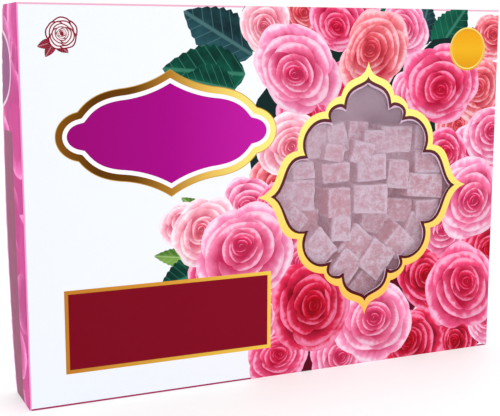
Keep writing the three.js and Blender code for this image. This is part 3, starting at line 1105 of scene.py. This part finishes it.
FRONT_ROW, BACK_ROW = 10.0, 24.0  # how far behind the heap's front the rows' centres are
BAY = {"left": 76, "right": 84, "low": -78}  # round the window, where cubes show
PLACED_FIELD = {"across": 77.5, "up": 82.5}  # half diagonals of the placed cubes' lozenge
HEAP_TOP = 129.0  # how high the rows reach
FINE, MEDIUM, COARSE = 20, 10, 4  # spans across a cube's face
CORE_DEPTH, CORE_INSET, CORE_LUMPS = 5.0, 3.0, 0.8  # the slab behind the rows
CORE_BARENESS = 0.5


def cube_lattice(spans):
    """The surface of a lattice cube: its points from -1 to 1, and its square faces."""
    grid = np.stack(np.meshgrid(*[np.arange(spans + 1)] * 3, indexing="ij"), axis=-1).reshape(-1, 3)
    surface = grid[((grid == 0) | (grid == spans)).any(axis=1)]
    number = np.full([spans + 1] * 3, -1)
    number[tuple(surface.T)] = np.arange(len(surface))
    faces = []
    for axis in range(3):
        sheets = np.moveaxis(number, (axis, (axis + 1) % 3, (axis + 2) % 3), (0, 1, 2))
        faces += [squares(sheets[0])[:, ::-1], squares(sheets[spans])]
    even = surface / spans * 2 - 1
    return 0.45 * even + 0.55 * np.sin(even * math.pi / 2), np.concatenate(faces)


LATTICES = {spans: cube_lattice(spans) for spans in (FINE, MEDIUM, COARSE)}


def dusted_cube(size, spans, rng, bareness):
    """A hand-cut cube: its points, how near an edge and how bare each is, and its faces."""
    unit, faces = LATTICES[spans]
    corners = np.array([rng.uniform(-SKEW, SKEW) for _ in range(24)]).reshape(2, 2, 2, 3)
    shares = np.stack([1 - unit, 1 + unit]) / 2  # of each corner's skew, by axis
    skew = np.einsum("in,jn,kn,ijkc->nc", *np.moveaxis(shares, 2, 0), corners)
    half = np.array(size, float) / 2
    points = unit * half
    radius = ROUNDING if spans > COARSE else 0.9 * ROUNDING
    inner = np.clip(points, -(half - radius), half - radius)
    away = points - inner
    normal = away / np.maximum(np.linalg.norm(away, axis=1), 1e-9)[:, None]
    second_nearest = np.sort(np.abs(points) - (half - EDGE_DUST), axis=1)[:, 1]
    edge = np.clip(second_nearest / EDGE_DUST, 0, 1)
    spread = np.sort(np.abs(unit), axis=1)[:, :2]
    dish = -rng.uniform(*DISH) * (1 - spread[:, 0] ** 2) * (1 - spread[:, 1] ** 2)
    placed = inner + normal * (radius + dish[:, None]) + skew
    seed = Vector((rng.uniform(0, 99), rng.uniform(0, 99), rng.uniform(0, 99)))
    if spans > COARSE:
        waves = LUMPS if spans == FINE else LUMPS[:2]
        placed = placed + normal * np.array([
            [sum(height * noise.noise(Vector(p) * pitch + seed) for height, pitch in waves)]
            for p in placed
        ])
    # The left faces are marked barer on top of the cube's own bareness: painted light glowing through the
    # gel.
    bare = bareness + LEFT_SIDE_PAINTED_GLOW * np.clip(-unit[:, 0] * 10 - 9, 0, 1)
    return placed, np.stack([edge, bare], axis=1), faces


def turned(points, turn, centre):
    """Points turned about the origin by degrees, then moved to a centre."""
    x, y, z = (math.radians(angle) for angle in turn)
    spin = Matrix.Rotation(x, 3, "X") @ Matrix.Rotation(y, 3, "Y") @ Matrix.Rotation(z, 3, "Z")
    return points @ np.array(spin).T + centre


def joined(name, parts, material):
    """A piece of the heap, from parts of points, their edge and bareness, and faces."""
    points, dusting, faces = zip(*parts)
    starts = np.cumsum([0, *map(len, points)])
    faces = np.concatenate([corners + start for corners, start in zip(faces, starts)])
    mesh = new_mesh(name, np.concatenate(points), faces, [material])
    for key, values in zip(("edge", "bare"), np.concatenate(dusting).T):
        mesh.attributes.new(key, "FLOAT", "POINT").data.foreach_set("value", values.copy())
    mesh.polygons.foreach_set("use_smooth", [True] * len(faces))
    piece = link(mesh, name)
    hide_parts("delight_heap")


def kept_inside(points):
    """Points held inside the room for the heap, as cubes press flat against the card."""
    return np.clip(points, HEAP_LOW, (*HEAP_HIGH.xy, HEIGHT - 1))


def row_places():
    """Places of the cubes in rows: in front away from the window, and everywhere behind."""
    front_y, back_y = HEAP_LOW.y + FRONT_ROW, HEAP_LOW.y + BACK_ROW
    up = HEAP_TOP - ROW_PITCH / 2
    while up > 0:
        across = HEAP_LOW.x + ROW_PITCH / 2
        while across < HEAP_HIGH.x:
            x, z = across - WINDOW[0], up - WINDOW[1]
            placed = abs(x) / PLACED_FIELD["across"] + abs(z) / PLACED_FIELD["up"] <= 1
            near = -BAY["left"] < x < BAY["right"] and BAY["low"] < z
            if not (near and placed):
                yield (across, front_y, up), COARSE
            shift = ROW_PITCH / 2 if across + ROW_PITCH < HEAP_HIGH.x else 0
            spans = MEDIUM if near and placed else COARSE
            yield (across + shift, back_y, up - ROW_PITCH / 4), spans
            across += ROW_PITCH
        up -= ROW_PITCH


def heap_core(rng):
    """The pressed mass behind the rows, as one lumpy slab on the carton's back."""
    size = (HEAP_HIGH.x - HEAP_LOW.x - 2 * CORE_INSET, CORE_DEPTH, HEAP_TOP - 2 * CORE_INSET)
    points, dust, faces = dusted_cube(size, FINE, rng, CORE_BARENESS)
    lumps = np.sin(points[:, 0] * math.pi / CUBE) * np.sin(points[:, 2] * math.pi / CUBE)
    points[:, 1] -= CORE_LUMPS * lumps * (points[:, 1] < 0)
    centre = ((HEAP_LOW.x + HEAP_HIGH.x) / 2, HEAP_HIGH.y - CORE_DEPTH / 2, HEAP_LOW.z + HEAP_TOP / 2)
    return kept_inside(points + centre), dust, faces


def build_heap():
    rng = random.Random(SEED)
    material = delight_material()
    shown = []
    for at, size, turn, bareness in CUBES:
        centre = (WINDOW[0] + at[0], HEAP_LOW.y + at[1], WINDOW[1] + at[2])
        points, dust, faces = dusted_cube(np.add(size, PRESSED), FINE, rng, bareness)
        shown.append((kept_inside(turned(points, turn, centre)), dust, faces))
    joined("window_cubes", shown, material)
    rows = []
    for centre, spans in row_places():
        size = [CUBE + rng.uniform(*ROW_SIZES) for _ in range(3)]
        turn = [rng.uniform(-most, most) for most in ROW_TURNS]
        stray = [rng.uniform(-most, most) for most in ROW_STRAY]
        points, dust, faces = dusted_cube(size, spans, rng, rng.random())
        rows.append((kept_inside(turned(points, turn, np.add(centre, stray))), dust, faces))
    joined("row_cubes", rows, material)
    joined("heap_core", [heap_core(rng)], material)
    joined("starch_crumbs", crumbs(shown, rng), material)


CRUMBS = 900
CRUMB_SIZES = (0.18, 0.32)  # a grain's least size, and how much larger the largest is
CRUMB_POINTS = np.array([(1, 0, 0), (-1, 0, 0), (0, 1, 0), (0, -1, 0), (0, 0, 1), (0, 0, -1)], float)
CRUMB_FACES = np.array([
    (0, 2, 4), (2, 1, 4), (1, 3, 4), (3, 0, 4), (2, 0, 5), (1, 2, 5), (3, 1, 5), (0, 3, 5),
])


def crumbs(cubes, rng):
    """Grains of starch that cling to the cubes' fronts and tops."""
    parts = []
    while len(parts) < CRUMBS:
        points, _, _ = rng.choice(cubes)
        at = points[rng.randrange(len(points))]
        middle = points.mean(axis=0)
        if at[1] > middle[1] and at[2] < middle[2]:
            continue
        size = CRUMB_SIZES[0] + CRUMB_SIZES[1] * rng.random() ** 2
        jitter = np.array([[rng.uniform(0.7, 1.2) for _ in range(3)] for _ in range(6)])
        parts.append((at + CRUMB_POINTS * jitter * size, np.array([(1.0, 0.0)] * 6), CRUMB_FACES))
    return parts


# ======== floor, light and camera
FLOOR_REACH = 6000.0


def build_stage():
    """The plain floor that the carton stands on."""
    corners = np.array([(-1, -1, 0), (1, -1, 0), (1, 1, 0), (-1, 1, 0)]) * FLOOR_REACH
    mesh = new_mesh("studio_floor", corners, np.array([(0, 1, 2, 3)]), [floor_material()])
    floor = new_object("studio_floor", mesh)


def area_light(name, place, aim, size, power):
    light = bpy.data.lights.new(name, "AREA")
    light.shape = "DISK"
    light.size = size
    light.energy = power
    new_object(name, light, place, Vector(aim) - Vector(place))


def build_light():
    world = bpy.data.worlds.new("studio")
    world.use_nodes = True
    background = world.node_tree.nodes["Background"]
    background.inputs["Color"].default_value = (1, 1, 1, 1)
    background.inputs["Strength"].default_value = 1.0
    bpy.context.scene.world = world
    area_light("key", (0.35, -1.1, 1.0), (0, 0, 0.1), 0.9, 1.6)
    area_light("top", (0.1, 0.1, 1.6), (0, 0, 0), 1.0, 4)
    bpy.context.scene.view_settings.view_transform = "Standard"


CAMERA_AT = (-0.24034, -0.50581, 0.18101)
CAMERA_AIM = (0.40668, 0.89980, -0.15804)
FOCAL_PIXELS, IMAGE_WIDTH, SENSOR = 1017.7, 500, 36.0


def build_camera():
    camera = bpy.data.cameras.new("camera")
    camera.sensor_width = SENSOR
    camera.lens = FOCAL_PIXELS / IMAGE_WIDTH * SENSOR
    bpy.context.scene.camera = new_object("camera", camera, CAMERA_AT, CAMERA_AIM)


build_card()
build_film()
build_heap()
build_stage()
build_light()
build_camera()
